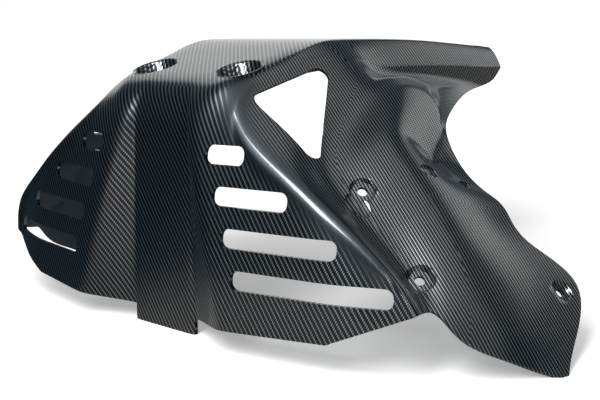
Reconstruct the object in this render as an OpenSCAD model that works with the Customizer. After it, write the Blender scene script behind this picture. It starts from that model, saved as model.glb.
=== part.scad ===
// One-piece moulded carbon-fibre skid plate for a motorbike, shown belly up.
// X runs from the front panel to the rear edge, Y is positive on the bike's left side,
// and Z is up from the ground that the plate stands on, upside down. The origin is on the ground,
// below the middle of the plate's box.

/* [Overall] */
// Length from the front panel to the rear edge of the belly
plate_length = 356; // [297:1:427]
// Height of the belly above the ground, belly up
belly_height = 198; // [165:1:238]
// Distance from the centre plane to the outer tip of each side cover
cover_reach = 261; // [218:1:313]
// Thickness of the laminate
wall = 2.5; // [2:0.1:3.5]

/* [Front panel] */
// Half width of the flat centre panel at its lower end
centre_half_low = 30.5; // [25:0.5:34]
// Half width of the flat centre panel where it meets the fold
centre_half_top = 25; // [22:0.5:26]
// How far the centre panel stands in front of the foot of each flute
centre_step = 3; // [1:0.5:4]
// Half distance between the two ridges at the lower edge
ridge_half_low = 75; // [66:1:84]
// How far the ridges stand in front of the centre panel at the lower edge
ridge_proud = 18.5; // [12:0.5:22]
// Sweep of the slotted panels, in degrees back from the ridges
panel_sweep = 10; // [5:0.5:14]
// Height of the flutes' lower edge beside the centre panel
flute_foot_z = 9; // [6:0.5:12]
// Height of the lower edge at the ridges
ridge_foot_z = 14; // [11:0.5:17]
// Height of the lower edge at its outer corners
corner_foot_z = 17; // [13:0.5:20]

/* [Slots] */
// Number of cooling slots in each panel
slot_count = 4; // [2:1:4]
// Height of a slot
slot_h = 12.5; // [8:0.5:15]
// Corner radius of a slot
slot_r = 5; // [2:0.5:5.5]
// Rise from one slot to the next
slot_pitch = 26; // [22:0.5:28]
// Height of the lowest slot above the ground
slot_low_z = 48; // [44:1:54]

/* [Side windows] */
// Corner radius of the triangular windows
window_r = 7; // [4:0.5:9]

/* [Belly] */
// Half width of the belly at its rear edge
belly_half = 62; // [54:1:70]
// Rise of the belly's sloping front part, from the fold to the flat part
belly_rise = 25; // [18:1:30]

/* [Bolt cups] */
// Diameter of a belly cup at its rim
cup_rim_d = 30; // [24:1:34]
// Diameter of a belly cup at its floor
cup_floor_d = 20; // [16:1:21]
// Depth of a belly cup
cup_depth = 14; // [8:0.5:16]
// Bolt hole in a belly cup
cup_bolt_d = 8.5; // [6.5:0.5:10.5]
// Distance from the centre plane to each front cup
front_cup_y = 42; // [38:0.5:44]
// Distance from the centre plane to each rear cup
rear_cup_y = 46; // [42:0.5:46]

/* [Side bolts] */
// Diameter of a side bolt's seat
seat_d = 17; // [14:0.5:19]
// Depth of a side bolt's seat
seat_depth = 3; // [2:0.5:4]
// Bolt hole in a side seat
side_bolt_d = 6.5; // [5.5:0.5:8.5]

/* [Hidden] */
$fn = 32;
// Facets of the moulded surface between two lines of the net
row_steps = 2;
col_steps = 2;
// Sizes at which the side lines below were set out, and the stretch from them
set_out = [356, 198, 261];
sx = plate_length / set_out[0];
sy = cover_reach / set_out[2];
sz = belly_height / set_out[1];
laminate = "#1c252b";

// Lines across the side, each from the belly's edge down to the free edge, as [x, y, z].
// The diagonal ridge where the front panel turns into the side.
ridge_line = [
    [22, 60, 170], [14, 63, 163], [8, 67, 155], [3, 74, 146], [0, 84, 136], [0, 98, 126], [1, 112, 117],
    [3, 127, 107], [6, 145, 95], [9, 162, 82], [12, 176, 69], [14, 187, 58], [15, 195, 48], [16, 200, 40]];
// The hollow line behind the window, where the case cover starts to rise.
hollow_line = [
    [102, 63, 198], [110, 69, 194], [116, 77, 187], [118, 87, 178], [107, 94, 168], [82, 100, 148],
    [55, 109, 128], [40, 122, 111], [39, 140, 95], [41, 158, 77], [42, 172, 64], [41, 185, 53],
    [38, 194, 46], [35, 199, 41]];
// The crown of the case cover, below a groove under the rail.
crown_line = [
    [160, 63, 198], [160, 69, 190], [160, 74, 177], [156, 75, 166], [152, 93, 171], [144, 104, 168],
    [125, 116, 158], [99, 132, 144], [84, 149, 125], [79, 166, 105], [73, 186, 84], [64, 202, 63],
    [51, 214, 42], [38, 221, 21]];
// The rear edge of the case cover's block, and below it the middle of the wing.
block_line = [
    [225, 63, 197], [225, 69, 189], [218, 74, 176], [198, 73, 166], [184, 92, 171], [187, 105, 157],
    [177, 121, 136], [137, 132, 114], [121, 156, 108], [108, 176, 92], [104, 194, 73], [100, 216, 52],
    [72, 236, 27], [56, 240, 12]];
// The rear edge.
rear_line = [
    [351, 62, 189], [352, 68, 184], [351, 75, 171], [345, 70, 155], [292, 73, 154], [206, 106, 139],
    [165, 127, 131], [158, 146, 106], [153, 168, 92], [152, 187, 85], [140, 200, 64], [176, 241, 36],
    [103, 258, 6], [88, 264, -4]];
// The left side differs: its ridge is squarer and its cover is shorter.
left_ridge_line = [
    [22, 62, 171], [14, 66, 164], [8, 71, 157], [3, 79, 149], [0, 91, 139], [-1, 105, 129], [0, 119, 119],
    [2, 134, 109], [6, 152, 97], [9, 169, 86], [12, 184, 76], [14, 194, 66], [15, 199, 53], [16, 200, 40]];
left_crown_foot = [[73, 186, 78], [66, 200, 58], [58, 205, 38], [52, 203, 20]];
left_rear_line = [
    [351, 62, 189], [352, 68, 184], [351, 73, 175], [336, 70, 170], [272, 70, 168], [206, 80, 160],
    [172, 104, 140], [158, 128, 116], [154, 150, 100], [166, 166, 86],
    [188, 178, 62], [192, 184, 30], [192, 192, -7], [100, 197, -2]];
side_n = len(ridge_line);
// Level of the ground on the scale of the heights above and below
ground_z = -2.5;
// Outer ends of the level lower edge
right_corner_y = 148;
left_corner_y = 138;
side_out = [-0.28, 0.67, 0.69];

function stretch(p) = [p[0] * sx, p[1] * sy, p[2] * sz];
function mix(a, b, t) = a + (b - a) * t;

// Height of the fold between the front panel and the belly
fold_z = belly_height - belly_rise;
// Backward lean of the centre panel from foot to fold
centre_lean = 3;
// The ridges close on the centre panel a little before the fold
ridge_closing = 1.02;
// Beyond this distance from the ridge the slotted panel sweeps back further, by this slope
corner_run = 90;
corner_slope = 0.25;

// Front panel: half width of the centre, position of the ridge and depth of the face at y, z
function centre_half(z) = mix(centre_half_low, centre_half_top, min(1, z / fold_z));
function ridge_y(z) = mix(ridge_half_low, centre_half_top + 1, min(1, z / fold_z * ridge_closing));
function centre_x(z) = 1 + centre_lean * z / fold_z;
function ridge_x(z) = centre_x(z) - ridge_proud * (1 - pow(min(1, z / fold_z), 3));
function flute_x(y, z) =
    let (foot = centre_half(z), t = (y - foot) / max(1, ridge_y(z) - foot))
    mix(centre_x(z) + centre_step * (1 - z / fold_z), ridge_x(z), max(0, min(1, t)));
function wing_x(y, z) =
    let (run = y - ridge_y(z))
    ridge_x(z) + run * tan(panel_sweep) + corner_slope * max(0, run - corner_run * sy);
function front_x(y, z) = y < centre_half(z) ? centre_x(z) : y < ridge_y(z) ? flute_x(y, z) : wing_x(y, z);

// Net of the right half, one list for each row from the lower front edge to the rear edge.
// Share of the way from the lower edge to the fold, for the rows of the front panel
front_share = [-0.06, 0.3, 0.58, 0.8, 0.93];
top_share = 0.97;
// Half width of the centre panel's edge, and how far the ridge's rounding and its run-out reach
step_half = 1;
ridge_round = 4;
ridge_run = 15;
// Columns on the centre panel, the flute and the ridge
function front_inner(z) =
    let (c = centre_half(z), r = max(ridge_y(z), c + 2 * step_half))
    [for (y = [
        0, c * 0.6, c - step_half, c + step_half,
        (c + r) / 2, r - min(ridge_round, (r - c) / 3), r + ridge_round, r + ridge_run])
        [front_x(y, z), y, z]];
// The lower edge of a slotted panel, from inside its first outer column to its corner
panel_start_y = 26;
panel_start_z = 4;
function lower_edge(s, corner) = [
    mix(ridge_half_low + panel_start_y, corner, s), mix(panel_start_z, corner_foot_z, s)];
function front_outer(share, ridge, corner) = [for (k = [0:side_n - 1])
    let (
        low = lower_edge(k / (side_n - 1), corner),
        top = stretch(ridge[k]),
        t = max(0, share),
        y = mix(low[0], top[1], t),
        z = mix(low[1], top[2], t))
    [wing_x(y, z), y, z]];
function front_row(share, ridge, corner) =
    concat(front_inner(fold_z * top_share * share), front_outer(share, ridge, corner));

// Belly rows: x and height, rising over the sloping front and falling slightly to the rear edge
belly_rows = [
    [10, fold_z - 3], [30, fold_z + 4], [64, fold_z + belly_rise * 0.56], [102, belly_height],
    [132, belly_height], [170, belly_height], [236, belly_height - 1], [300, belly_height - 5],
    [352, belly_height - 9]];
belly_share = [0, 0.15, 0.3, 0.37, 0.44, 0.52, 0.64, 0.82];
function belly_inner(row) = [for (share = belly_share) [row[0] * sx, belly_half * share, row[1]]];

// Side rows between the drawn lines, from the ridge back. Each is a share of the way from one line
// to the next, lifted out of the straight line between them below the rail.
shoulder = [0.28, 2];
window_face = [0.62, -1.5];
swell = [0.4, 2];
rear_recess = [0.4, -2];
rail_columns = 3;
function between(a, b, place) = [for (k = [0:side_n - 1])
    mix(a[k], b[k], place[0]) + (k > rail_columns ? place[1] : 0) * side_out];
function with_foot(line, foot) = concat([for (k = [0:side_n - len(foot) - 1]) line[k]], foot);
function side_rows(ridge, crown, block, rear) = [
    ridge,
    between(ridge, hollow_line, shoulder),
    between(ridge, hollow_line, window_face),
    hollow_line,
    between(hollow_line, crown, swell),
    crown,
    block,
    between(block, rear, rear_recess),
    rear];
function side_row(rows, i) = [for (p = rows[i]) stretch(p)];

function half_net(ridge, crown, block, rear, corner) = let (
    rows = side_rows(ridge, crown, block, rear)) concat(
    [for (share = front_share) front_row(share, ridge, corner)],
    [for (i = [0:len(belly_rows) - 1]) concat(belly_inner(belly_rows[i]), side_row(rows, i))]);

// Whole net, from the left free edge over the belly to the right free edge
function reversed(list) = [for (i = [len(list) - 1:-1:0]) list[i]];
net = let (
    left_crown = with_foot(crown_line, left_crown_foot),
    left = half_net(
        left_ridge_line, left_crown, between(left_crown, left_rear_line, swell),
        left_rear_line, left_corner_y * sy),
    right = half_net(ridge_line, crown_line, block_line, rear_line, right_corner_y * sy))
    [for (r = [0:len(right) - 1]) concat(
        reversed([for (k = [1:len(left[r]) - 1]) left[r][k]]),
        [for (p = right[r]) [p[0], -p[1], p[2]]])];

// Uniform cubic spline through a list of control points, with natural ends
function padded(p) = let (n = len(p)) concat([2 * p[0] - p[1]], p, [2 * p[n - 1] - p[n - 2]]);
function spline_at(q, i, t) =
    (pow(1 - t, 3) * q[i] + (3 * pow(t, 3) - 6 * t * t + 4) * q[i + 1]
    + (-3 * pow(t, 3) + 3 * t * t + 3 * t + 1) * q[i + 2] + pow(t, 3) * q[i + 3]) / 6;
function spline(p, steps) = let (q = padded(p), n = len(p)) concat(
    [for (i = [0:n - 2]) for (s = [0:steps - 1]) spline_at(q, i, s / steps)], [p[n - 1]]);
function transposed(m) = [for (j = [0:len(m[0]) - 1]) [for (i = [0:len(m) - 1]) m[i][j]]];
function surface_grid(net) = transposed([
    for (col = transposed([for (row = net) spline(row, col_steps)])) spline(col, row_steps)]);

// Outer face, its unit normals and the inner face one wall behind it
outer = surface_grid(net);
rows_n = len(outer);
cols_n = len(outer[0]);
function unit(v) = v / norm(v);
function normal_at(g, i, j) = unit(cross(
    g[min(i + 1, len(g) - 1)][j] - g[max(i - 1, 0)][j],
    g[i][min(j + 1, len(g[0]) - 1)] - g[i][max(j - 1, 0)]));
inner = [for (i = [0:rows_n - 1]) [for (j = [0:cols_n - 1]) outer[i][j] + wall * normal_at(outer, i, j)]];

function flat(m) = [for (row = m) for (p = row) p];
skin_points = concat(flat(outer), flat(inner));
function middle_of(values) = (min(values) + max(values)) / 2;
box_middle = [middle_of([for (p = skin_points) p[0]]), middle_of([for (p = skin_points) p[1]]), ground_z];
module shell() {
    area = rows_n * cols_n;
    last_row = rows_n - 1;
    last_col = cols_n - 1;
    function at(i, j, layer) = layer * area + i * cols_n + j;
    function quad(a, b, c, d) = [[a, c, b], [a, d, c]];
    faces = concat(
        [for (i = [0:rows_n - 2]) for (j = [0:cols_n - 2])
            each quad(at(i, j, 0), at(i, j + 1, 0), at(i + 1, j + 1, 0), at(i + 1, j, 0))],
        [for (i = [0:rows_n - 2]) for (j = [0:cols_n - 2])
            each quad(at(i, j, 1), at(i + 1, j, 1), at(i + 1, j + 1, 1), at(i, j + 1, 1))],
        [for (i = [0:rows_n - 2]) each concat(
            quad(at(i, 0, 0), at(i + 1, 0, 0), at(i + 1, 0, 1), at(i, 0, 1)),
            quad(at(i, last_col, 0), at(i, last_col, 1), at(i + 1, last_col, 1), at(i + 1, last_col, 0)))],
        [for (j = [0:cols_n - 2]) each concat(
            quad(at(0, j, 0), at(0, j, 1), at(0, j + 1, 1), at(0, j + 1, 0)),
            quad(at(last_row, j, 0), at(last_row, j + 1, 0), at(last_row, j + 1, 1), at(last_row, j, 1)))]);
    polyhedron(points = skin_points, faces = faces);
}

// A place on the outer face nearest to a point, as [point on the face, inward normal]
function nearest_place(q) = let (
    all = [for (i = [0:rows_n - 1]) for (j = [0:cols_n - 1]) [norm(outer[i][j] - q), i, j]],
    least = min([for (a = all) a[0]]),
    hit = [for (a = all) if (a[0] == least) a][0],
    n = normal_at(outer, hit[1], hit[2]))
    [q + n * ((outer[hit[1]][hit[2]] - q) * n), n];

// Turns the Z axis onto a direction, at a point
module along(place) {
    n = place[1];
    translate(place[0])
        rotate([0, acos(n[2]), atan2(n[1], n[0])])
        children();
}

// A dished bolt seat: its laminate, and the hollow with the bolt hole through its floor
module dish(place, rim_d, floor_d, depth) {
    lip = 0.3;
    along(place)
        translate([0, 0, lip])
        cylinder(h = depth + wall - lip, d1 = rim_d + 2 * wall, d2 = floor_d + 2 * wall);
}
module dish_hollow(place, rim_d, floor_d, depth, bolt_d) {
    over = 4;
    flare = (rim_d - floor_d) / depth;
    along(place) {
        translate([0, 0, -over])
            cylinder(h = depth + over, d1 = rim_d + flare * over, d2 = floor_d);
        cylinder(h = depth + wall + over, d = bolt_d);
    }
}

// Belly cups, side bolts and the bolt in the right cover's tip, each seen as x, y and z near it
front_cup = [38, 180];
rear_cup = [332, 191];
upper_bolt = [49, 138, 104];
lower_bolt = [43, 186, 55];
wing_bolt = [140, -237, 37];
seat_flare = 3;
function cup_place(x_z, y) = nearest_place([x_z[0] * sx, y, x_z[1] * sz]);
function bolt_place(p, side) = nearest_place(stretch([p[0], side * p[1], p[2]]));
cups = [for (side = [-1, 1]) each [
    cup_place(front_cup, side * front_cup_y), cup_place(rear_cup, side * rear_cup_y)]];
side_bolts = [
    for (side = [-1, 1]) each [bolt_place(upper_bolt, side), bolt_place(lower_bolt, side)],
    bolt_place(wing_bolt, 1)];

// Trims what would pass the ground, and the foot of the flutes above it
module foot_trim() {
    before = -40;
    below = -30;
    front_depth = 60;
    half_wide = cover_reach * 1.1;
    translate([before, -half_wide, ground_z + below])
        cube([plate_length - 2 * before, 2 * half_wide, -below]);
    beyond_corner = 165 * sy;
    for (side = [0, 1])
        mirror([0, side, 0])
        translate([before, 0, 0])
        rotate([90, 0, 90])
        linear_extrude(height = front_depth)
        polygon([
            [centre_half_low, below], [centre_half_low, flute_foot_z], [ridge_half_low, ridge_foot_z],
            [right_corner_y * sy, corner_foot_z], [beyond_corner, corner_foot_z], [beyond_corner, below]]);
}

// A slot through a front panel, along X, with rounded corners
slot_reach = [-30, 26];
module slot(y0, y1, z) {
    translate([slot_reach[0], y0 + slot_r, z - slot_h / 2 + slot_r])
        rotate([90, 0, 90])
        linear_extrude(height = slot_reach[1] - slot_reach[0])
        offset(r = slot_r)
        square([y1 - y0 - 2 * slot_r, slot_h - 2 * slot_r]);
}
// Inner and outer end of the lowest slot, and how far both come inwards at each slot above it
slot_ends = [79, 186];
slot_steps = [9, 34.9];
module slots() {
    for (side = [-1, 1], k = [0:slot_count - 1]) {
        inner_y = slot_ends[0] - k * slot_steps[0];
        outer_y = (slot_ends[1] - k * slot_steps[1]) * sy;
        slot(side > 0 ? inner_y : -outer_y, side > 0 ? outer_y : -inner_y, slot_low_z + k * slot_pitch);
    }
}

// Triangular window in each side face, between centres of its corner arcs
window_corners = [[31, 71, 159], [80, 80, 176], [38, 105, 128]];
module window(side) {
    through = 40;
    corners = [for (p = window_corners) let (q = stretch(p)) [q[0], side * q[1], q[2]]];
    u = unit(corners[1] - corners[0]);
    n = unit(cross(u, corners[2] - corners[0]));
    v = cross(n, u);
    o = corners[0];
    multmatrix([
        [u[0], v[0], n[0], o[0]],
        [u[1], v[1], n[1], o[1]],
        [u[2], v[2], n[2], o[2]],
        [0, 0, 0, 1]])
        linear_extrude(height = through, center = true)
        offset(r = window_r)
        polygon([for (p = corners) [(p - o) * u, (p - o) * v]]);
}

module skid_plate() {
    color(laminate)
        translate(-box_middle)
        difference() {
            union() {
                shell();
                for (place = cups)
                    dish(place, cup_rim_d, cup_floor_d, cup_depth);
                for (place = side_bolts)
                    dish(place, seat_d, seat_d - seat_flare, seat_depth);
            }
            for (place = cups)
                dish_hollow(place, cup_rim_d, cup_floor_d, cup_depth, cup_bolt_d);
            for (place = side_bolts)
                dish_hollow(place, seat_d, seat_d - seat_flare, seat_depth, side_bolt_d);
            foot_trim();
            slots();
            window(-1);
            window(1);
        }
}

skid_plate();
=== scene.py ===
import math

import bmesh
import bpy
import numpy as np
from mathutils import Matrix, Vector
from mathutils.bvhtree import BVHTree


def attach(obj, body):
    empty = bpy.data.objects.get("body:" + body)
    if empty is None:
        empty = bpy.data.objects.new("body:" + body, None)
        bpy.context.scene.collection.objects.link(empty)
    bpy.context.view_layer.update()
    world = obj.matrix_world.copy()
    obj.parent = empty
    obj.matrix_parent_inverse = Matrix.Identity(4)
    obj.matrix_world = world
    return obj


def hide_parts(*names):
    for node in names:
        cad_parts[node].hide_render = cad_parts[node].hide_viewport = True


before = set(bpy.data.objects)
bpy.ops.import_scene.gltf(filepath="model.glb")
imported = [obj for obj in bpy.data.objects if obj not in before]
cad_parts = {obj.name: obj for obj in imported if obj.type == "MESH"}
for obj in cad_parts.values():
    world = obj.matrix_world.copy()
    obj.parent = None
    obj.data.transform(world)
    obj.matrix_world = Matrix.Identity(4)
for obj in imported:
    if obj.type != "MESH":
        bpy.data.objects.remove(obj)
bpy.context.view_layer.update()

bl_info = {
    "name": "Moulded skid plate",
    "version": (1, 0, 0),
    "blender": (4, 5, 0),
    "location": "View3D > Sidebar > Skid plate",
    "description": "A clear-coated carbon-fibre skid plate, standing belly up, with its stage",
    "category": "Object",
}

MM = 0.001

# Places below are in mm from the foot of the front panel's middle. The frame's origin is below
# the middle of the plate's box.
PLATE_LENGTH = 356.0
BELLY_HEIGHT = 198.0
COVER_REACH = 261.0
BOX_MIDDLE = Vector((167.77, -30.535, -2.5))

# Lines across the side, each from the belly's edge down to the free edge.
RIDGE_LINE = (
    (22, 60, 170), (14, 63, 163), (8, 67, 155), (3, 74, 146), (0, 84, 136), (0, 98, 126), (1, 112, 117),
    (3, 127, 107), (6, 145, 95), (9, 162, 82), (12, 176, 69), (14, 187, 58), (15, 195, 48), (16, 200, 40))
HOLLOW_LINE = (
    (102, 63, 198), (110, 69, 194), (116, 77, 187), (118, 87, 178), (107, 94, 168), (82, 100, 148),
    (55, 109, 128), (40, 122, 111), (39, 140, 95), (41, 158, 77), (42, 172, 64), (41, 185, 53),
    (38, 194, 46), (35, 199, 41))
CROWN_LINE = (
    (160, 63, 198), (160, 69, 190), (160, 74, 177), (156, 75, 166), (152, 93, 171), (144, 104, 168),
    (125, 116, 158), (99, 132, 144), (84, 149, 125), (79, 166, 105), (73, 186, 84), (64, 202, 63),
    (51, 214, 42), (38, 221, 21))
BLOCK_LINE = (
    (225, 63, 197), (225, 69, 189), (218, 74, 176), (198, 73, 166), (184, 92, 171), (187, 105, 157),
    (177, 121, 136), (137, 132, 114), (121, 156, 108), (108, 176, 92), (104, 194, 73), (100, 216, 52),
    (72, 236, 27), (56, 240, 12))
REAR_LINE = (
    (351, 62, 189), (352, 68, 184), (351, 75, 171), (345, 70, 155), (292, 73, 154), (206, 106, 139),
    (165, 127, 131), (158, 146, 106), (153, 168, 92), (152, 187, 85), (140, 200, 64), (176, 241, 36),
    (103, 258, 6), (88, 264, -4))
# The left side differs: its ridge is squarer and its cover is shorter.
LEFT_RIDGE_LINE = (
    (22, 62, 171), (14, 66, 164), (8, 71, 157), (3, 79, 149), (0, 91, 139), (-1, 105, 129), (0, 119, 119),
    (2, 134, 109), (6, 152, 97), (9, 169, 86), (12, 184, 76), (14, 194, 66), (15, 199, 53), (16, 200, 40))
LEFT_CROWN_LINE = CROWN_LINE[:10] + ((73, 186, 78), (66, 200, 58), (58, 205, 38), (52, 203, 20))
LEFT_REAR_LINE = (
    (351, 62, 189), (352, 68, 184), (351, 73, 175), (336, 70, 170), (272, 70, 168), (206, 80, 160),
    (172, 104, 140), (158, 128, 116), (154, 150, 100), (166, 166, 86),
    (188, 178, 62), (192, 184, 30), (192, 192, -7), (100, 197, -2))
# Way out of a side face, used to lift or sink the rows between two lines.
SIDE_OUT = Vector((-0.28, 0.67, 0.69))
# Points of a line that are on the belly's edge and stay in place.
EDGE_POINTS = 4
# Outer corners of the front panel's lower edge, from the middle.
RIGHT_CORNER_Y = 148.0
LEFT_CORNER_Y = 138.0

# Places of the bolts: the belly's cups and the side seats, on both sides, and the right wing's.
CUP_PLACES = ((38, 42, 180), (332, 46, 191))
SEAT_PLACES = ((49, 138, 104), (43, 186, 55))
WING_SEAT_PLACE = (140, -237, 37)
# How much narrower a seat's floor is than its rim.
SEAT_TAPER = 3.0
# Blind hollows in the right cover: place, length, width and turn in degrees.
DIMPLES = (
    ((99, -156, 112), 19, 12, 15),
    ((139, -161, 98), 15, 9, 15),
    ((40, -141, 96), 20, 15, 60),
)
DIMPLE_DEPTH = 1.8
# Cooling slots: height of the lowest one, the pitch, and the distance of each end from the middle
# at the lowest slot with its step from slot to slot.
SLOT_COUNT = 4
SLOT_LOW_Z, SLOT_PITCH = 48, 26
SLOT_INNER, SLOT_INNER_STEP = 79, -9
SLOT_OUTER, SLOT_OUTER_STEP = 186, -34.9
# Centres of the rounded corners of the right window; the left one is its mirror image.
WINDOW_CORNERS = ((31, 71, 159), (80, 80, 176), (38, 105, 128))


def linear(hex_colour):
    """An sRGB hex value as a linear colour with alpha."""
    parts = [int(hex_colour[i:i + 2], 16) / 255 for i in (1, 3, 5)]
    return tuple(c / 12.92 if c <= 0.04045 else ((c + 0.055) / 1.055) ** 2.4 for c in parts) + (1.0,)


class PlateSizes(bpy.types.PropertyGroup):
    """Sizes of the moulded shell that a user would change."""

    wall: bpy.props.FloatProperty(
        name="Wall", description="Thickness of the laminate", default=2.5 * MM, subtype="DISTANCE")
    slot_height: bpy.props.FloatProperty(
        name="Slot height", description="Height of a cooling slot", default=12.5 * MM, subtype="DISTANCE")
    slot_radius: bpy.props.FloatProperty(
        name="Slot corner", description="Corner radius of a cooling slot", default=5 * MM, subtype="DISTANCE")
    window_radius: bpy.props.FloatProperty(
        name="Window corner", description="Corner radius of the side windows", default=7 * MM,
        subtype="DISTANCE")
    cup_rim: bpy.props.FloatProperty(
        name="Cup rim", description="Diameter of a belly cup at its rim", default=30 * MM, subtype="DISTANCE")
    cup_floor: bpy.props.FloatProperty(
        name="Cup floor", description="Diameter of a belly cup at its floor", default=20 * MM,
        subtype="DISTANCE")
    cup_depth: bpy.props.FloatProperty(
        name="Cup depth", description="Depth of a belly cup", default=14 * MM, subtype="DISTANCE")
    cup_bolt: bpy.props.FloatProperty(
        name="Cup hole", description="Bolt hole in a belly cup", default=8.5 * MM, subtype="DISTANCE")
    seat: bpy.props.FloatProperty(
        name="Side seat", description="Diameter of a side bolt's seat", default=17 * MM, subtype="DISTANCE")
    seat_depth: bpy.props.FloatProperty(
        name="Seat depth", description="Depth of a side bolt's seat", default=3 * MM, subtype="DISTANCE")
    side_bolt: bpy.props.FloatProperty(
        name="Side hole", description="Bolt hole in a side seat", default=6.5 * MM, subtype="DISTANCE")


class PlateFinish(bpy.types.PropertyGroup):
    """Weave and colours of the laminate."""

    tow: bpy.props.FloatProperty(
        name="Tow", description="Width of one tow of the twill", default=1.08 * MM, subtype="DISTANCE")
    # The fibre colour is the bright metal tone of the painted glint, put only on the crowns of the tows that
    # run one way.
    fibre: bpy.props.FloatVectorProperty(
        name="Fibre", description="Colour of a tow that faces the light", size=3, subtype="COLOR",
        default=linear("#f9f7f3")[:3])


def mix(a, b, t):
    """The value at share t of the way from a to b."""
    return a + (b - a) * t


# Half width of the belly, and the net's columns as shares of it.
BELLY_HALF = 62.0
BELLY_SHARE = (0, 0.15, 0.3, 0.37, 0.44, 0.52, 0.64, 0.82)
# Front panel: height of the fold to the belly, and the net's rows as shares of it.
FOLD_Z = BELLY_HEIGHT - 25.0
FRONT_SHARE = (-0.06, 0.3, 0.58, 0.76, 0.89)
# The front rows' height shrinks by this, so that the fold keeps its rounding.
FRONT_HEIGHT = 0.97
# Half width of the flat centre, at the foot and at the fold.
CENTRE_HALF = (30.5, 25.0)
# How far the flat centre leans back up to the fold, and how far the flute's inner edge is sunk.
CENTRE_LEAN = 3.0
CENTRE_STEP = 3.0
# The ridge beside the flute: distance from the middle and how proud it stands, at the foot.
RIDGE_HALF_LOW = 75.0
RIDGE_PROUD = 18.5
# The slotted panel's sweep, which grows from a run of 90 mm on.
PANEL_SWEEP = math.tan(math.radians(10))
OUTER_RUN, OUTER_SWEEP = 90.0, 0.25
# Heights of the lower edge beside the centre, at the ridges and at the outer corners.
FOOT_Z = (9.0, 14.0, 17.0)


def centre_half(z):
    """Half width of the flat centre panel at a height."""
    return mix(*CENTRE_HALF, min(1, z / FOLD_Z))


def ridge_y(z):
    """Distance of the ridge from the middle at a height."""
    return mix(RIDGE_HALF_LOW, CENTRE_HALF[1] + 1, min(1, z / FOLD_Z * 1.02))


def centre_x(z):
    """Depth of the flat centre at a height."""
    return 1 + CENTRE_LEAN * z / FOLD_Z


def ridge_x(z):
    """Depth of the ridge at a height; it meets the centre at the fold."""
    return centre_x(z) - RIDGE_PROUD * (1 - min(1, z / FOLD_Z) ** 3)


def wing_x(y, z):
    """Depth of the slotted panel, which sweeps back from the ridge."""
    run = y - ridge_y(z)
    return ridge_x(z) + run * PANEL_SWEEP + OUTER_SWEEP * max(0, run - OUTER_RUN)


def front_x(y, z):
    """Depth of the front face: flat centre, flute up to the ridge, then the slotted panel."""
    foot = centre_half(z)
    if y < foot:
        return centre_x(z)
    if y < ridge_y(z):
        t = (y - foot) / max(1, ridge_y(z) - foot)
        return mix(centre_x(z) + CENTRE_STEP * (1 - z / FOLD_Z), ridge_x(z), t)
    return wing_x(y, z)


def front_row(share, ridge, corner):
    """One row of the net up the front panel, from the middle to the outer edge."""
    z = FOLD_Z * FRONT_HEIGHT * share
    c = centre_half(z)
    r = max(ridge_y(z), c + 2)
    # The flat centre, both sides of its edge, the flute's middle, and both sides of the ridge.
    columns = (0, c * 0.6, c - 1, c + 1, (c + r) / 2, r - min(4, (r - c) / 3), r + 4, r + 15)
    row = [Vector((front_x(y, z), y, z)) for y in columns]
    last = len(ridge) - 1
    # Outside the ridge, the points go from an even spread at the foot to the ridge line's own.
    for k, top in enumerate(ridge):
        t = max(0, share)
        y = mix(mix(RIDGE_HALF_LOW + 26, corner, k / last), top[1], t)
        z = mix(mix(4, FOOT_Z[2], k / last), top[2], t)
        row.append(Vector((wing_x(y, z), y, z)))
    return row


def between(a, b, t, lift):
    """A row at share t from line a to line b, lifted off the side face."""
    return [mix(p, q, t) + (lift * SIDE_OUT if k >= EDGE_POINTS else Vector((0, 0, 0)))
            for k, (p, q) in enumerate(zip(a, b))]


def half_net(ridge, crown, block, rear, corner):
    """Net of one half, in rows from the lower front edge to the rear edge."""
    hollow = vectors(HOLLOW_LINE)
    # The lines and the rows between them, each at its share of the way and with its lift in mm.
    sides = (
        ridge, between(ridge, hollow, 0.28, 2), between(ridge, hollow, 0.62, -1.5), hollow,
        between(hollow, crown, 0.4, 2), crown, block, between(block, rear, 0.4, -2), rear)
    top = BELLY_HEIGHT
    # Depth and height of each row where it crosses the belly.
    belly = (
        (10, FOLD_Z - 3), (30, FOLD_Z + 4), (64, FOLD_Z + 14), (102, top), (132, top), (170, top),
        (236, top - 1), (300, top - 5), (PLATE_LENGTH - 4, top - 9))
    rows = [front_row(share, ridge, corner) for share in FRONT_SHARE]
    for (x, z), side in zip(belly, sides):
        rows.append([Vector((x, BELLY_HALF * share, z)) for share in BELLY_SHARE] + list(side))
    return rows


def vectors(line):
    """The points of a line as vectors."""
    return [Vector(p) for p in line]


def plate_net():
    """The whole net, from the left free edge over the belly to the right free edge."""
    left_crown, left_rear = vectors(LEFT_CROWN_LINE), vectors(LEFT_REAR_LINE)
    left = half_net(
        vectors(LEFT_RIDGE_LINE), left_crown, between(left_crown, left_rear, 0.4, 2), left_rear,
        LEFT_CORNER_Y)
    right = half_net(
        vectors(RIDGE_LINE), vectors(CROWN_LINE), vectors(BLOCK_LINE), vectors(REAR_LINE), RIGHT_CORNER_Y)
    return [list(reversed(a[1:])) + [Vector((p.x, -p.y, p.z)) for p in b] for a, b in zip(left, right)]


def new_object(name, bm):
    """A new object in the scene from a bmesh, which is freed."""
    mesh = bpy.data.meshes.new(name)
    bm.to_mesh(mesh)
    bm.free()
    made = bpy.data.objects.new(name, mesh)
    bpy.context.scene.collection.objects.link(made)
    return made


# Tighter edges of the moulding: first and last place on the net as (row, column from the
# middle), how tight from 0 to 1, and the sides that have it.
CREASES = (
    ((7, 8), (13, 8), 0.5, (-1, 1)),
    ((8, 10), (13, 10), 1.0, (-1, 1)),
    ((9, 12), (11, 12), 0.8, (1,)),
    ((9, 13), (11, 13), 0.8, (1,)),
    ((11, 13), (11, 16), 0.6, (1,)),
    ((10, 15), (12, 15), 0.8, (1,)),
)


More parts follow.
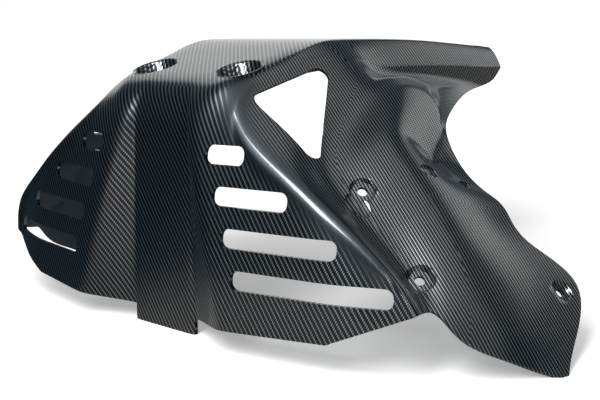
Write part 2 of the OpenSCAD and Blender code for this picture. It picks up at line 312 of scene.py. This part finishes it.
def steps(first, last):
    """Places on the net from first to last, along a row or a column."""
    count = max(last[0] - first[0], last[1] - first[1])
    down, across = ((last[i] - first[i]) // count for i in (0, 1))
    return [(first[0] + i * down, first[1] + i * across) for i in range(count + 1)]


def shell_object(levels):
    """The smooth skin over the net, as an open sheet whose faces point outwards."""
    net = plate_net()
    rows, columns = len(net), len(net[0])
    bm = bmesh.new()
    bmesh.ops.create_grid(bm, x_segments=columns - 1, y_segments=rows - 1, size=1)
    ordered = sorted(bm.verts, key=lambda v: (round(v.co.y, 4), round(v.co.x, 4)))
    for vert, place in zip(ordered, (p for row in net for p in row)):
        vert.co = (place - BOX_MIDDLE) * MM
    sharpness = bm.edges.layers.float.new("crease_edge")
    middle = columns // 2
    for first, last, value, sides in CREASES:
        for side in sides:
            path = [(row, middle + side * column) for row, column in steps(first, last)]
            for (r0, c0), (r1, c1) in zip(path, path[1:]):
                edge = bm.edges.get((ordered[r0 * columns + c0], ordered[r1 * columns + c1]))
                edge[sharpness] = value
    bmesh.ops.recalc_face_normals(bm, faces=bm.faces)
    top = max(bm.faces, key=lambda f: f.calc_center_median().z)
    if top.normal.z < 0:
        bmesh.ops.reverse_faces(bm, faces=bm.faces)
    skin = new_object("skin", bm)
    smooth = skin.modifiers.new("Smooth", "SUBSURF")
    smooth.levels = smooth.render_levels = levels
    smooth.boundary_smooth = "PRESERVE_CORNERS"
    return skin


def applied(obj):
    """Takes obj's modifiers into its mesh, and gives obj back."""
    graph = bpy.context.evaluated_depsgraph_get()
    mesh = bpy.data.meshes.new_from_object(obj.evaluated_get(graph))
    obj.modifiers.clear()
    obj.data = mesh
    return obj


def frame_at(place, normal):
    """Matrix whose Z axis is normal, at place."""
    return Matrix.Translation(place) @ normal.to_track_quat("Z", "Y").to_matrix().to_4x4()


class Skin:
    """Finds places and smooth normals on the outer skin."""

    def __init__(self, skin):
        self.mesh = skin.data
        self.tree = BVHTree.FromPolygons(
            [v.co for v in self.mesh.vertices], [p.vertices for p in self.mesh.polygons])

    def place(self, x, y, z):
        """The point over x, y, z on the skin's plane there, and the way into the shell."""
        target = (Vector((x, y, z)) - BOX_MIDDLE) * MM
        hit, normal, _, _ = self.tree.find_nearest(target)
        inward = -normal
        return target + inward * (hit - target).dot(inward), inward


def lathe(bm, profile, matrix, steps=40):
    """Turns a profile of (radius, height) pairs into a closed solid about the matrix's Z axis."""
    verts = [bm.verts.new((r, 0, h)) for r, h in profile]
    edges = [bm.edges.new(pair) for pair in zip(verts, verts[1:])]
    bmesh.ops.spin(
        bm, geom=verts + edges, cent=(0, 0, 0), axis=(0, 0, 1), angle=2 * math.pi, steps=steps,
        use_merge=True)
    bmesh.ops.remove_doubles(bm, verts=bm.verts, dist=1e-6)
    bmesh.ops.transform(bm, matrix=matrix, verts=bm.verts)


def part_mesh(build):
    """A bmesh from build(bm), closed and with its faces outwards."""
    bm = bmesh.new()
    build(bm)
    bmesh.ops.recalc_face_normals(bm, faces=bm.faces)
    return bm


def joined(name, meshes):
    """One object from several bmeshes."""
    whole = bmesh.new()
    for bm in meshes:
        mesh = bpy.data.meshes.new("piece")
        bm.to_mesh(mesh)
        bm.free()
        whole.from_mesh(mesh)
        bpy.data.meshes.remove(mesh)
    return new_object(name, whole)


# How deep in the skin a dish's outside starts, and how far a dish's cutter passes it.
DISH_LIP = 0.3
DISH_OVER = 4.0


def dish_body(place, rim, floor, depth, wall):
    """The outside of a dish, behind the skin."""
    point, inward = place
    lip = DISH_LIP * MM

    def build(bm):
        lathe(bm, ((0, lip), (rim / 2 + wall, lip), (floor / 2 + wall, depth + wall), (0, depth + wall)),
              frame_at(point, inward))
    return part_mesh(build)


# Half of a blind hollow's section: radius as a share of its length, height as one of its depth.
DIMPLE_SECTION = ((0, -1), (0.5, -1), (0.5, 0.5), (0.42, 1), (0, 1))


def dimple(place, length, width, depth, turn):
    """A blind oval hollow that cuts depth into the face."""
    point, inward = place

    def build(bm):
        oval = Matrix.Rotation(turn, 4, "Z") @ Matrix.Diagonal((length, width, 1, 1))
        lathe(bm, [(r, h * depth) for r, h in DIMPLE_SECTION], frame_at(point, inward) @ oval)
    return part_mesh(build)


# Points of a dish's rolled rim, as shares of its depth: outwards from the rim, and down.
RIM_ROLL = ((0.22, -0.02), (0.1, 0.04), (0.02, 0.12))


def dish_hollow(place, rim, floor, depth, wall, bolt):
    """Cuts a dish's inside and its bolt hole."""
    point, inward = place
    over = DISH_OVER * MM
    # The rim rolls over from the skin's slope to the dish's wall.
    roll = [(rim / 2 + wide * depth, deep * depth) for wide, deep in RIM_ROLL]

    def build(bm):
        lathe(bm, [(0, -over), (roll[0][0] + over / 2, -over)] + roll + [
            (floor / 2, depth), (bolt / 2, depth), (bolt / 2, depth + wall + over),
            (0, depth + wall + over)], frame_at(point, inward))
    return part_mesh(build)


# Lengths of the bars that cut the slots and the windows, and where the slots' bars have their
# middle along X.
SLOT_BAR, SLOT_BAR_X = 56.0, -2.0
WINDOW_BAR = 40.0


def slot_cutter(y0, y1, z, height, radius):
    """A round-cornered bar along X that cuts one slot."""
    def build(bm):
        bmesh.ops.create_cube(bm, size=1)
        bmesh.ops.scale(bm, vec=(SLOT_BAR * MM, (y1 - y0) * MM, height), verts=bm.verts)
        along = [e for e in bm.edges if abs(e.verts[0].co.x - e.verts[1].co.x) > SLOT_BAR / 2 * MM]
        bmesh.ops.bevel(
            bm, geom=along, offset=radius, offset_type="OFFSET", affect="EDGES", segments=8, profile=0.5,
            material=-1)
        centre = (Vector((SLOT_BAR_X, (y0 + y1) / 2, z)) - BOX_MIDDLE) * MM
        bmesh.ops.translate(bm, vec=centre, verts=bm.verts)
    return part_mesh(build)


def window_cutter(side, radius):
    """A round-cornered triangular bar square to the side face."""
    corners = [(Vector((x, side * y, z)) - BOX_MIDDLE) * MM for x, y, z in WINDOW_CORNERS]
    normal = (corners[1] - corners[0]).cross(corners[2] - corners[0]).normalized()

    def build(bm):
        for corner in corners:
            bmesh.ops.create_circle(bm, segments=32, radius=radius, matrix=frame_at(
                corner - normal * (WINDOW_BAR / 2) * MM, normal))
        hull = bmesh.ops.convex_hull(bm, input=bm.verts)
        inside = [g for g in hull["geom_interior"] if isinstance(g, bmesh.types.BMVert)]
        bmesh.ops.delete(bm, geom=inside, context="VERTS")
        bmesh.ops.dissolve_limit(bm, angle_limit=0.02, verts=bm.verts, edges=bm.edges)
        flat = max(bm.faces, key=lambda f: f.calc_area())
        bmesh.ops.delete(bm, geom=[f for f in bm.faces if f is not flat], context="FACES")
        sides = bmesh.ops.extrude_face_region(bm, geom=list(bm.faces))
        moved = [g for g in sides["geom"] if isinstance(g, bmesh.types.BMVert)]
        bmesh.ops.translate(bm, vec=normal * WINDOW_BAR * MM, verts=moved)
    return part_mesh(build)


# Bars that trim the lower edge: how far they pass the plate in front and at the rear, how deep
# those of the flutes reach in, and how far they go down and out from the middle.
TRIM_PAST = 40.0
TRIM_REACH_IN = 20.0
TRIM_DOWN = 30.0
TRIM_REACH_OUT = 165.0


def foot_trims():
    """Bars that trim what would pass the ground, and the foot of the flutes above it."""
    def bar(x0, x1, points):
        def build(bm):
            loop = [bm.verts.new((Vector((x0, y, z)) - BOX_MIDDLE) * MM) for y, z in points]
            out = bmesh.ops.extrude_face_region(bm, geom=[bm.faces.new(loop)])
            moved = [g for g in out["geom"] if isinstance(g, bmesh.types.BMVert)]
            bmesh.ops.translate(bm, vec=((x1 - x0) * MM, 0, 0), verts=moved)
        return part_mesh(build)

    ground = BOX_MIDDLE.z
    wide = COVER_REACH * 1.1
    bars = [bar(-TRIM_PAST, PLATE_LENGTH + TRIM_PAST, (
        (-wide, ground - TRIM_DOWN), (wide, ground - TRIM_DOWN), (wide, ground), (-wide, ground)))]
    half = CENTRE_HALF[0]
    for side in (-1, 1):
        bars.append(bar(-TRIM_PAST, TRIM_REACH_IN, [(side * y, z) for y, z in (
            (half, -TRIM_DOWN), (half, FOOT_Z[0]), (RIDGE_HALF_LOW, FOOT_Z[1]),
            (RIGHT_CORNER_Y, FOOT_Z[2]), (TRIM_REACH_OUT, FOOT_Z[2]), (TRIM_REACH_OUT, -TRIM_DOWN))]))
    return bars


def cut(obj, other, operation):
    """Adds other to obj or takes it away, and removes other."""
    boolean = obj.modifiers.new(operation.title(), "BOOLEAN")
    boolean.operation = operation
    boolean.solver = "EXACT"
    boolean.use_self = True
    boolean.object = other
    applied(obj)
    bpy.data.objects.remove(other)


# Run of the twill's lines and the way across them on each panel, as laid in the mould. The way
# across is longer than 1 where the panel slants from it, so that the tows keep their width.
CLOTH_LAY = {
    "front": ((0.0, -0.55, -0.83), (0.1, -0.83, 0.55)),
    "belly": ((-0.74, -0.64, -0.2), (0.66, -0.78, 0.24)),
    "rail": ((0.28, -0.71, -0.95), (0.82, -0.76, 0.83)),
    "window": ((-0.12, -0.94, -0.79), (1.14, -0.56, 0.47)),
    "cover": ((-0.2, -0.87, -0.86), (0.97, -0.97, 0.75)),
    "wing": ((-0.18, -0.78, -0.9), (0.96, -1.0, 0.68)),
}


def panel_name(row, column):
    """The panel that a face of the net is on, by its row and its column from the middle.

    Rows below the fold are the front. On the sides, the rail runs along the belly's edge.
    """
    if row < 5:
        return "front"
    if column < 8:
        return "belly"
    if row > 8 and column < 10:
        return "rail"
    if row < 8:
        return "window"
    return "wing" if column > 16 and row > 9 else "cover"


# Where an even tone is painted over the cloth so that the lamp's highlight there is a smooth band: the right
# ridge, by its row and columns on the net, with the half width that is fully hidden and the width over which
# the cloth shows again, in mm.
RIDGE_ROW = 5
RIDGE_REACH = (8, 19)
HIGHLIGHT_BAND_CORE = 6
HIGHLIGHT_BAND_FADE = 11
# Faces that point into the shell: cosine of their angle from the skin's way out, at most.
INNER_FACING = -0.3


def distance(point, a, b):
    """Distance of a point from the line between a and b."""
    along = min(1, max(0, (point - a).dot(b - a) / (b - a).length_squared))
    return (point - a - (b - a) * along).length


def lay_cloth(mesh, places, levels):
    """Writes the UV map that the weave follows, in metres along the two ways of the tows.

    It also marks the faces on the shell's inner side and the share of the even tone painted along the ridge,
    where the highlight falls.
    """
    net = plate_net()
    columns = len(net[0]) - 1
    middle = columns // 2
    per_face = 4 ** levels
    cloth = np.zeros((len(mesh.loops), 2))
    inner = np.zeros(len(mesh.polygons))
    highlight_band = np.zeros(len(mesh.vertices))
    first, past = (middle + column for column in RIDGE_REACH)
    ridge = [(p - BOX_MIDDLE) * MM for p in net[RIDGE_ROW][first:past]]
    for vertex in mesh.vertices:
        gap = min(distance(vertex.co, a, b) for a, b in zip(ridge, ridge[1:])) / MM
        highlight_band[vertex.index] = 1 - min(1, max(0, (gap - HIGHLIGHT_BAND_CORE) / HIGHLIGHT_BAND_FADE))
    for polygon in mesh.polygons:
        _, outwards, index, _ = places.tree.find_nearest(polygon.center)
        inner[polygon.index] = polygon.normal.dot(outwards) < INNER_FACING
        row, column = divmod(index // per_face, columns)
        right = column >= middle
        name = panel_name(row, column - middle if right else middle - 1 - column)
        run, across = (Vector(way) for way in CLOTH_LAY[name])
        if not right and name not in ("front", "belly"):
            run.y, across.y = -run.y, -across.y
        for loop in polygon.loop_indices:
            co = mesh.vertices[mesh.loops[loop].vertex_index].co
            u, v = co.dot(run), co.dot(across)
            cloth[loop] = ((v + u) / math.sqrt(2), (v - u) / math.sqrt(2))
    layer = mesh.uv_layers.new(name="cloth")
    layer.data.foreach_set("uv", cloth.ravel())
    mesh.attributes.new("inner", "FLOAT", "FACE").data.foreach_set("value", inner)
    mesh.attributes.new("highlight_band", "FLOAT", "POINT").data.foreach_set("value", highlight_band)


def add(tree, kind, **given):
    """Adds a node with its settings and its inputs.

    An input goes by its capitalised name, or by i and its number, and every other name is a
    setting. An input takes a value, a socket, or a node, which stands for its first output.
    """
    node = tree.nodes.new(kind)
    inputs = {}
    for key, value in given.items():
        if key[0] == "i" and key[1:].isdigit():
            inputs[int(key[1:])] = value
        elif key[0].isupper():
            inputs[key.replace("_", " ")] = value
        else:
            setattr(node, key, value)
    for key, value in inputs.items():
        if isinstance(value, bpy.types.Node):
            value = value.outputs[0]
        if isinstance(value, bpy.types.NodeSocket):
            tree.links.new(value, node.inputs[key])
        else:
            node.inputs[key].default_value = value
    return node


# How round a tow is across its width, how tightly the painted glint gathers on its crown, and how much
# of the painted glint the other way's tows get, which leaves them painted dark as if in shade.
TOW_ROUNDNESS = 3.2
PAINTED_GLINT_TIGHTNESS = 2.6
WEFT_SHARE = 0.03
# A warp tow's cycle: it floats over two wefts, then dives under two.
CYCLE = 4.0
# Metal tones of the dark resin between the painted glints, of the even tone painted along the ridge where
# the lamp's highlight falls, and of the inner side.
GAP_TONE = "#12222c"
PAINTED_HIGHLIGHT_BAND_TONE = "#4c5155"
INNER_TONE = "#4a545c"
# Roughness of the outer side under its coat, and how much more the bare inner side has.
CLOTH_ROUGHNESS = 0.38
INNER_EXTRA = 0.35
# Height of the weave's relief in mm, and how strongly it shows.
RELIEF = 0.2
RELIEF_STRENGTH = 0.25


def laminate_material(finish):
    """Clear-coated carbon-fibre twill, moulded and polished.

    It gives the eye light dashes in slanted lines on near black, which are painted glints on the tows, under
    a sharp gloss.
    """
    material = bpy.data.materials.new("clear_coated_carbon_twill")
    material.use_nodes = True
    tree = material.node_tree
    tree.nodes.clear()
    maths = "ShaderNodeMath"
    cloth = add(tree, "ShaderNodeUVMap", uv_map="cloth")
    split = add(tree, "ShaderNodeSeparateXYZ", i0=cloth)
    p = add(tree, maths, operation="DIVIDE", i0=split.outputs[0], i1=finish.tow)
    q = add(tree, maths, operation="DIVIDE", i0=split.outputs[1], i1=finish.tow)
    warp = add(tree, maths, operation="FLOOR", i0=p)
    weft = add(tree, maths, operation="FLOOR", i0=q)

    def cycle(a, b):
        """Place along a tow's cycle, which moves on by one from tow to tow."""
        whole = add(tree, maths, operation="ADD", i0=a, i1=b)
        return add(tree, maths, operation="FLOORED_MODULO", i0=whole, i1=CYCLE)

    def crown(along, across, start):
        """Height of a tow: round across its width and bowed along its float."""
        off = add(tree, maths, operation="FRACT", i0=across)
        off = add(tree, maths, operation="SUBTRACT", i0=off, i1=0.5)
        off = add(tree, maths, operation="MULTIPLY", i0=off, i1=off)
        off = add(tree, maths, operation="MULTIPLY", i0=off, i1=TOW_ROUNDNESS)
        rounded = add(tree, maths, operation="SUBTRACT", i0=1.0, i1=off)
        bow = add(tree, maths, operation="SUBTRACT", i0=along, i1=start)
        bow = add(tree, maths, operation="MULTIPLY", i0=bow, i1=math.pi / 2)
        bow = add(tree, maths, operation="SINE", i0=bow)
        bow = add(tree, maths, operation="ABSOLUTE", i0=bow)
        bow = add(tree, maths, operation="POWER", i0=bow, i1=0.5)
        return add(tree, maths, operation="MULTIPLY", i0=rounded, i1=bow)

    warp_height = crown(cycle(q, warp), p, 0.0)
    weft_height = crown(cycle(p, weft), q, CYCLE / 2)
    warp_up = add(tree, maths, operation="LESS_THAN", i0=cycle(warp, weft), i1=1.5)
    height = add(tree, "ShaderNodeMix", data_type="FLOAT", i0=warp_up, i2=weft_height, i3=warp_height)
    # Painted glint: the crowns of the tows that run one way get the bright fibre tone; the other way's tows
    # are painted dark as if in shade, and the gaps are the dark resin.
    painted_glint = add(tree, maths, operation="MAXIMUM", i0=warp_height, i1=0.0)
    painted_glint = add(tree, maths, operation="POWER", i0=painted_glint, i1=PAINTED_GLINT_TIGHTNESS)
    dull = add(tree, maths, operation="MULTIPLY", i0=weft_height, i1=WEFT_SHARE)
    tone = add(tree, "ShaderNodeMix", data_type="FLOAT", i0=warp_up, i2=dull, i3=painted_glint)
    outer = add(tree, "ShaderNodeMix", data_type="RGBA", i0=tone, i6=linear(GAP_TONE),
                i7=tuple(finish.fibre) + (1.0,))
    # Painted along the ridge where the lamp's highlight falls: an even tone hides the weave there, so the
    # highlight is a smooth band.
    highlight_band = add(tree, "ShaderNodeAttribute", attribute_name="highlight_band").outputs["Fac"]
    outer = add(tree, "ShaderNodeMix", data_type="RGBA", i0=highlight_band, i6=outer.outputs[2],
                i7=linear(PAINTED_HIGHLIGHT_BAND_TONE))
    # The inner side is matt and evenly dark, as it lay against the vacuum bag.
    inner = add(tree, "ShaderNodeAttribute", attribute_name="inner").outputs["Fac"]
    colour = add(tree, "ShaderNodeMix", data_type="RGBA", i0=inner, i6=outer.outputs[2],
                 i7=linear(INNER_TONE))
    roughness = add(tree, maths, operation="MULTIPLY_ADD", i0=inner, i1=INNER_EXTRA, i2=CLOTH_ROUGHNESS)
    outside = add(tree, maths, operation="SUBTRACT", i0=1.0, i1=inner)
    bump = add(tree, "ShaderNodeBump", Strength=RELIEF_STRENGTH, Distance=RELIEF * MM, Height=height)
    shader = add(
        tree, "ShaderNodeBsdfPrincipled", Base_Color=colour.outputs[2], Metallic=outside,
        Roughness=roughness, Coat_Weight=outside, Coat_Roughness=0.03, Coat_IOR=1.5, Normal=bump)
    add(tree, "ShaderNodeOutputMaterial", Surface=shader)
    return material


# Folds sharper than this are shaded as edges.
SHARP_FROM = math.radians(38)


def build_plate(sizes, finish):
    """The moulded shell: a smooth skin, thickened, with its dishes, hollows and openings."""
    levels = 3
    plate = applied(shell_object(levels))
    plate.data.shade_smooth()
    places = Skin(plate)
    cups = [places.place(x, side * y, z) for side in (-1, 1) for x, y, z in CUP_PLACES]
    seats = [places.place(x, side * y, z) for side in (-1, 1) for x, y, z in SEAT_PLACES]
    seats.append(places.place(*WING_SEAT_PLACE))
    wall = plate.modifiers.new("Wall", "SOLIDIFY")
    wall.thickness = sizes.wall
    wall.offset = -1
    applied(plate)
    cup = sizes.cup_rim, sizes.cup_floor, sizes.cup_depth, sizes.wall
    seat = sizes.seat, sizes.seat - SEAT_TAPER * MM, sizes.seat_depth, sizes.wall
    bodies = [dish_body(c, *cup) for c in cups] + [dish_body(s, *seat) for s in seats]
    cut(plate, joined("dish_bodies", bodies), "UNION")
    tools = [dish_hollow(c, *cup, sizes.cup_bolt) for c in cups]
    tools += [dish_hollow(s, *seat, sizes.side_bolt) for s in seats]
    for (x, y, z), length, width, degrees in DIMPLES:
        tools.append(dimple(
            places.place(x, y, z), length * MM, width * MM, DIMPLE_DEPTH * MM, math.radians(degrees)))
    for side in (-1, 1):
        for k in range(SLOT_COUNT):
            inner, outer = SLOT_INNER + SLOT_INNER_STEP * k, SLOT_OUTER + SLOT_OUTER_STEP * k
            tools.append(slot_cutter(
                *sorted((side * inner, side * outer)), SLOT_LOW_Z + SLOT_PITCH * k,
                sizes.slot_height, sizes.slot_radius))
        tools.append(window_cutter(side, sizes.window_radius))
    cut(plate, joined("tools", tools + foot_trims()), "DIFFERENCE")
    plate.name = plate.data.name = "plate_shell"
    lay_cloth(plate.data, places, levels)
    plate.data.shade_smooth()
    plate.data.set_sharp_from_angle(angle=SHARP_FROM)
    plate.data.materials.clear()
    plate.data.materials.append(laminate_material(finish))
    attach(plate, "root")
    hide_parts("skid_plate")


def softbox(name, size, place, target, power):
    """A soft rectangular lamp at place, turned to target; sizes in m and power in W."""
    lamp = bpy.data.lights.new(name, "AREA")
    lamp.shape = "RECTANGLE"
    lamp.size, lamp.size_y = size
    lamp.energy = power
    holder = bpy.data.objects.new(name, lamp)
    holder.location = place
    holder.rotation_euler = (Vector(target) - Vector(place)).to_track_quat("-Z", "Y").to_euler()
    holder.visible_camera = False
    bpy.context.scene.collection.objects.link(holder)


# The paper's own tone, and its tones in glossy parts: on the plate's right and on its left.
PAPER_TONE = "#f6f6f6"
PAPER_MIRRORED = "#8b8b8b"
PAPER_MIRRORED_LEFT = "#1b2f3c"
# Where the mirrored tone changes, along Y, and where the camera's fill grows, from the middle,
# both in m, with the fill's strength there.
MIRRORED_CHANGE = (0.0, 0.22)
FILL_GROWS = (0.2, 0.9)
FILL = (0.3, 0.8)
FLOOR_HALF = 20.0


def build_floor():
    """White studio paper, dull and even.

    Glossy parts mirror it dimmer than it is, and dark to the left of the plate.
    """
    bm = bmesh.new()
    bmesh.ops.create_grid(bm, x_segments=1, y_segments=1, size=FLOOR_HALF)
    floor = new_object("floor", bm)
    material = bpy.data.materials.new("white_studio_paper")
    material.use_nodes = True
    tree = material.node_tree
    tree.nodes.clear()
    rays = add(tree, "ShaderNodeLightPath")
    place = add(tree, "ShaderNodeTexCoord").outputs["Object"]
    left = add(tree, "ShaderNodeSeparateXYZ", i0=place).outputs[1]
    edge = add(tree, "ShaderNodeMapRange", interpolation_type="SMOOTHSTEP", i0=left,
               i1=MIRRORED_CHANGE[0], i2=MIRRORED_CHANGE[1], i3=0.0, i4=1.0)
    mirrored = add(tree, "ShaderNodeMix", data_type="RGBA", i0=edge, i6=linear(PAPER_MIRRORED),
                   i7=linear(PAPER_MIRRORED_LEFT))
    tone = add(tree, "ShaderNodeMix", data_type="RGBA", i0=rays.outputs["Is Glossy Ray"],
               i6=linear(PAPER_TONE), i7=mirrored.outputs[2])
    paper = add(tree, "ShaderNodeBsdfDiffuse", i0=tone.outputs[2])
    away = add(tree, "ShaderNodeVectorMath", operation="LENGTH", i0=place).outputs["Value"]
    fill = add(tree, "ShaderNodeMapRange", interpolation_type="SMOOTHSTEP", i0=away,
               i1=FILL_GROWS[0], i2=FILL_GROWS[1], i3=FILL[0], i4=FILL[1])
    strength = add(tree, "ShaderNodeMath", operation="MULTIPLY", i0=rays.outputs["Is Camera Ray"], i1=fill)
    glow = add(tree, "ShaderNodeEmission", Color=linear("#ffffff"), Strength=strength)
    both = add(tree, "ShaderNodeAddShader", i0=paper, i1=glow)
    add(tree, "ShaderNodeOutputMaterial", Surface=both)
    floor.data.materials.append(material)


# Pale walls of the dim studio, as reflections show them: the way to each, the cosines of the
# angles from it at which the wall ends and is fully lit, and its brightness.
STUDIO_WALLS = (
    ((0.6, 0.71, 0.375), 0.8, 0.93, 0.75),
    ((0.94, -0.22, 0.26), 0.93, 0.99, 0.66),
    ((0.1, -0.4, 0.91), 0.82, 0.96, 0.45),
)


# The studio's tones: dark between the walls, and the even fill that lights matt parts.
STUDIO_DARK = "#1b303c"
STUDIO_FILL = "#b3b3b3"


def build_world():
    """A dark studio with pale walls in reflections, an even soft fill, and white for the camera."""
    world = bpy.data.worlds.new("studio")
    world.use_nodes = True
    tree = world.node_tree
    tree.nodes.clear()
    rays = add(tree, "ShaderNodeLightPath")
    way = add(tree, "ShaderNodeTexCoord").outputs["Generated"]
    white = linear("#ffffff")
    bright = 0.0
    for axis, edge, core, gain in STUDIO_WALLS:
        facing = add(tree, "ShaderNodeVectorMath", operation="DOT_PRODUCT", i0=way, i1=axis)
        patch = add(tree, "ShaderNodeMapRange", interpolation_type="SMOOTHSTEP",
                    i0=facing.outputs["Value"], i1=edge, i2=core, i3=0.0, i4=gain)
        bright = add(tree, "ShaderNodeMath", operation="ADD", i0=patch, i1=bright)
    walls = add(tree, "ShaderNodeMix", data_type="RGBA", i0=bright, i6=linear(STUDIO_DARK), i7=white)
    seen = add(tree, "ShaderNodeMix", data_type="RGBA", i0=rays.outputs["Is Glossy Ray"],
               i6=linear(STUDIO_FILL), i7=walls.outputs[2])
    level = add(tree, "ShaderNodeMix", data_type="RGBA", i0=rays.outputs["Is Camera Ray"],
                i6=seen.outputs[2], i7=white)
    light = add(tree, "ShaderNodeBackground", Color=level.outputs[2], Strength=1.0)
    add(tree, "ShaderNodeOutputWorld", Surface=light)
    bpy.context.scene.world = world


# The camera's focal length as a share of the picture's width, its heading, pitch and roll in
# degrees, and its place in mm.
FOCAL_SHARE = 924.1 / 600
HEADING, PITCH, ROLL = 50.36, 10.34, -0.26
CAMERA_PLACE = Vector((-423.0, -477.1, 203.7))


def build_camera():
    """The camera, ahead of the plate's right front corner and about as high as its belly."""
    lens = bpy.data.cameras.new("camera")
    lens.sensor_width = 36
    lens.lens = FOCAL_SHARE * lens.sensor_width
    lens.clip_start, lens.clip_end = 0.01, 50
    holder = bpy.data.objects.new("camera", lens)
    bpy.context.scene.collection.objects.link(holder)
    heading, pitch = math.radians(HEADING), math.radians(PITCH)
    forward = Vector((math.sin(heading) * math.cos(pitch), math.cos(heading) * math.cos(pitch),
                      -math.sin(pitch)))
    holder.location = (CAMERA_PLACE - BOX_MIDDLE) * MM
    turn = forward.to_track_quat("-Z", "Y").to_matrix() @ Matrix.Rotation(math.radians(ROLL), 3, "Z")
    holder.rotation_euler = turn.to_euler()
    bpy.context.scene.camera = holder


# The lamp over the plate's front: its size and place and what it faces, in m, and its power in W.
KEY_LAMP = ((0.3, 0.8), (-0.85, -0.26, 0.88), (0, 0, 0.1), 12)


class PLATE_OT_shell(bpy.types.Operator):
    """Makes the moulded shell"""

    bl_idname = "plate.shell"
    bl_label = "Make the shell"

    def execute(self, context):
        build_plate(context.scene.plate_sizes, context.scene.plate_finish)
        return {"FINISHED"}


class PLATE_OT_stage(bpy.types.Operator):
    """Makes the floor, the studio around it, the lamp and the camera"""

    bl_idname = "plate.stage"
    bl_label = "Make the stage"

    def execute(self, context):
        build_floor()
        build_world()
        softbox("key_softbox", *KEY_LAMP)
        build_camera()
        context.scene.view_settings.view_transform = "Standard"
        return {"FINISHED"}


class PLATE_PT_panel(bpy.types.Panel):
    """Lists the sizes, the finish and the steps"""

    bl_idname = "PLATE_PT_panel"
    bl_label = "Skid plate"
    bl_space_type = "VIEW_3D"
    bl_region_type = "UI"
    bl_category = "Skid plate"

    def draw(self, context):
        for group in (context.scene.plate_sizes, context.scene.plate_finish):
            for name in group.__annotations__:
                self.layout.prop(group, name)
        self.layout.operator(PLATE_OT_shell.bl_idname)
        self.layout.operator(PLATE_OT_stage.bl_idname)


CLASSES = (PlateSizes, PlateFinish, PLATE_OT_shell, PLATE_OT_stage, PLATE_PT_panel)


def register():
    """Makes the classes known, and gives the scene their properties."""
    for cls in CLASSES:
        bpy.utils.register_class(cls)
    bpy.types.Scene.plate_sizes = bpy.props.PointerProperty(type=PlateSizes)
    bpy.types.Scene.plate_finish = bpy.props.PointerProperty(type=PlateFinish)


def unregister():
    """Takes back what register did."""
    del bpy.types.Scene.plate_finish
    del bpy.types.Scene.plate_sizes
    for cls in reversed(CLASSES):
        bpy.utils.unregister_class(cls)


def main():
    """Makes the plate and its stage."""
    register()
    bpy.ops.plate.shell()
    bpy.ops.plate.stage()


if __name__ == "__main__":
    main()
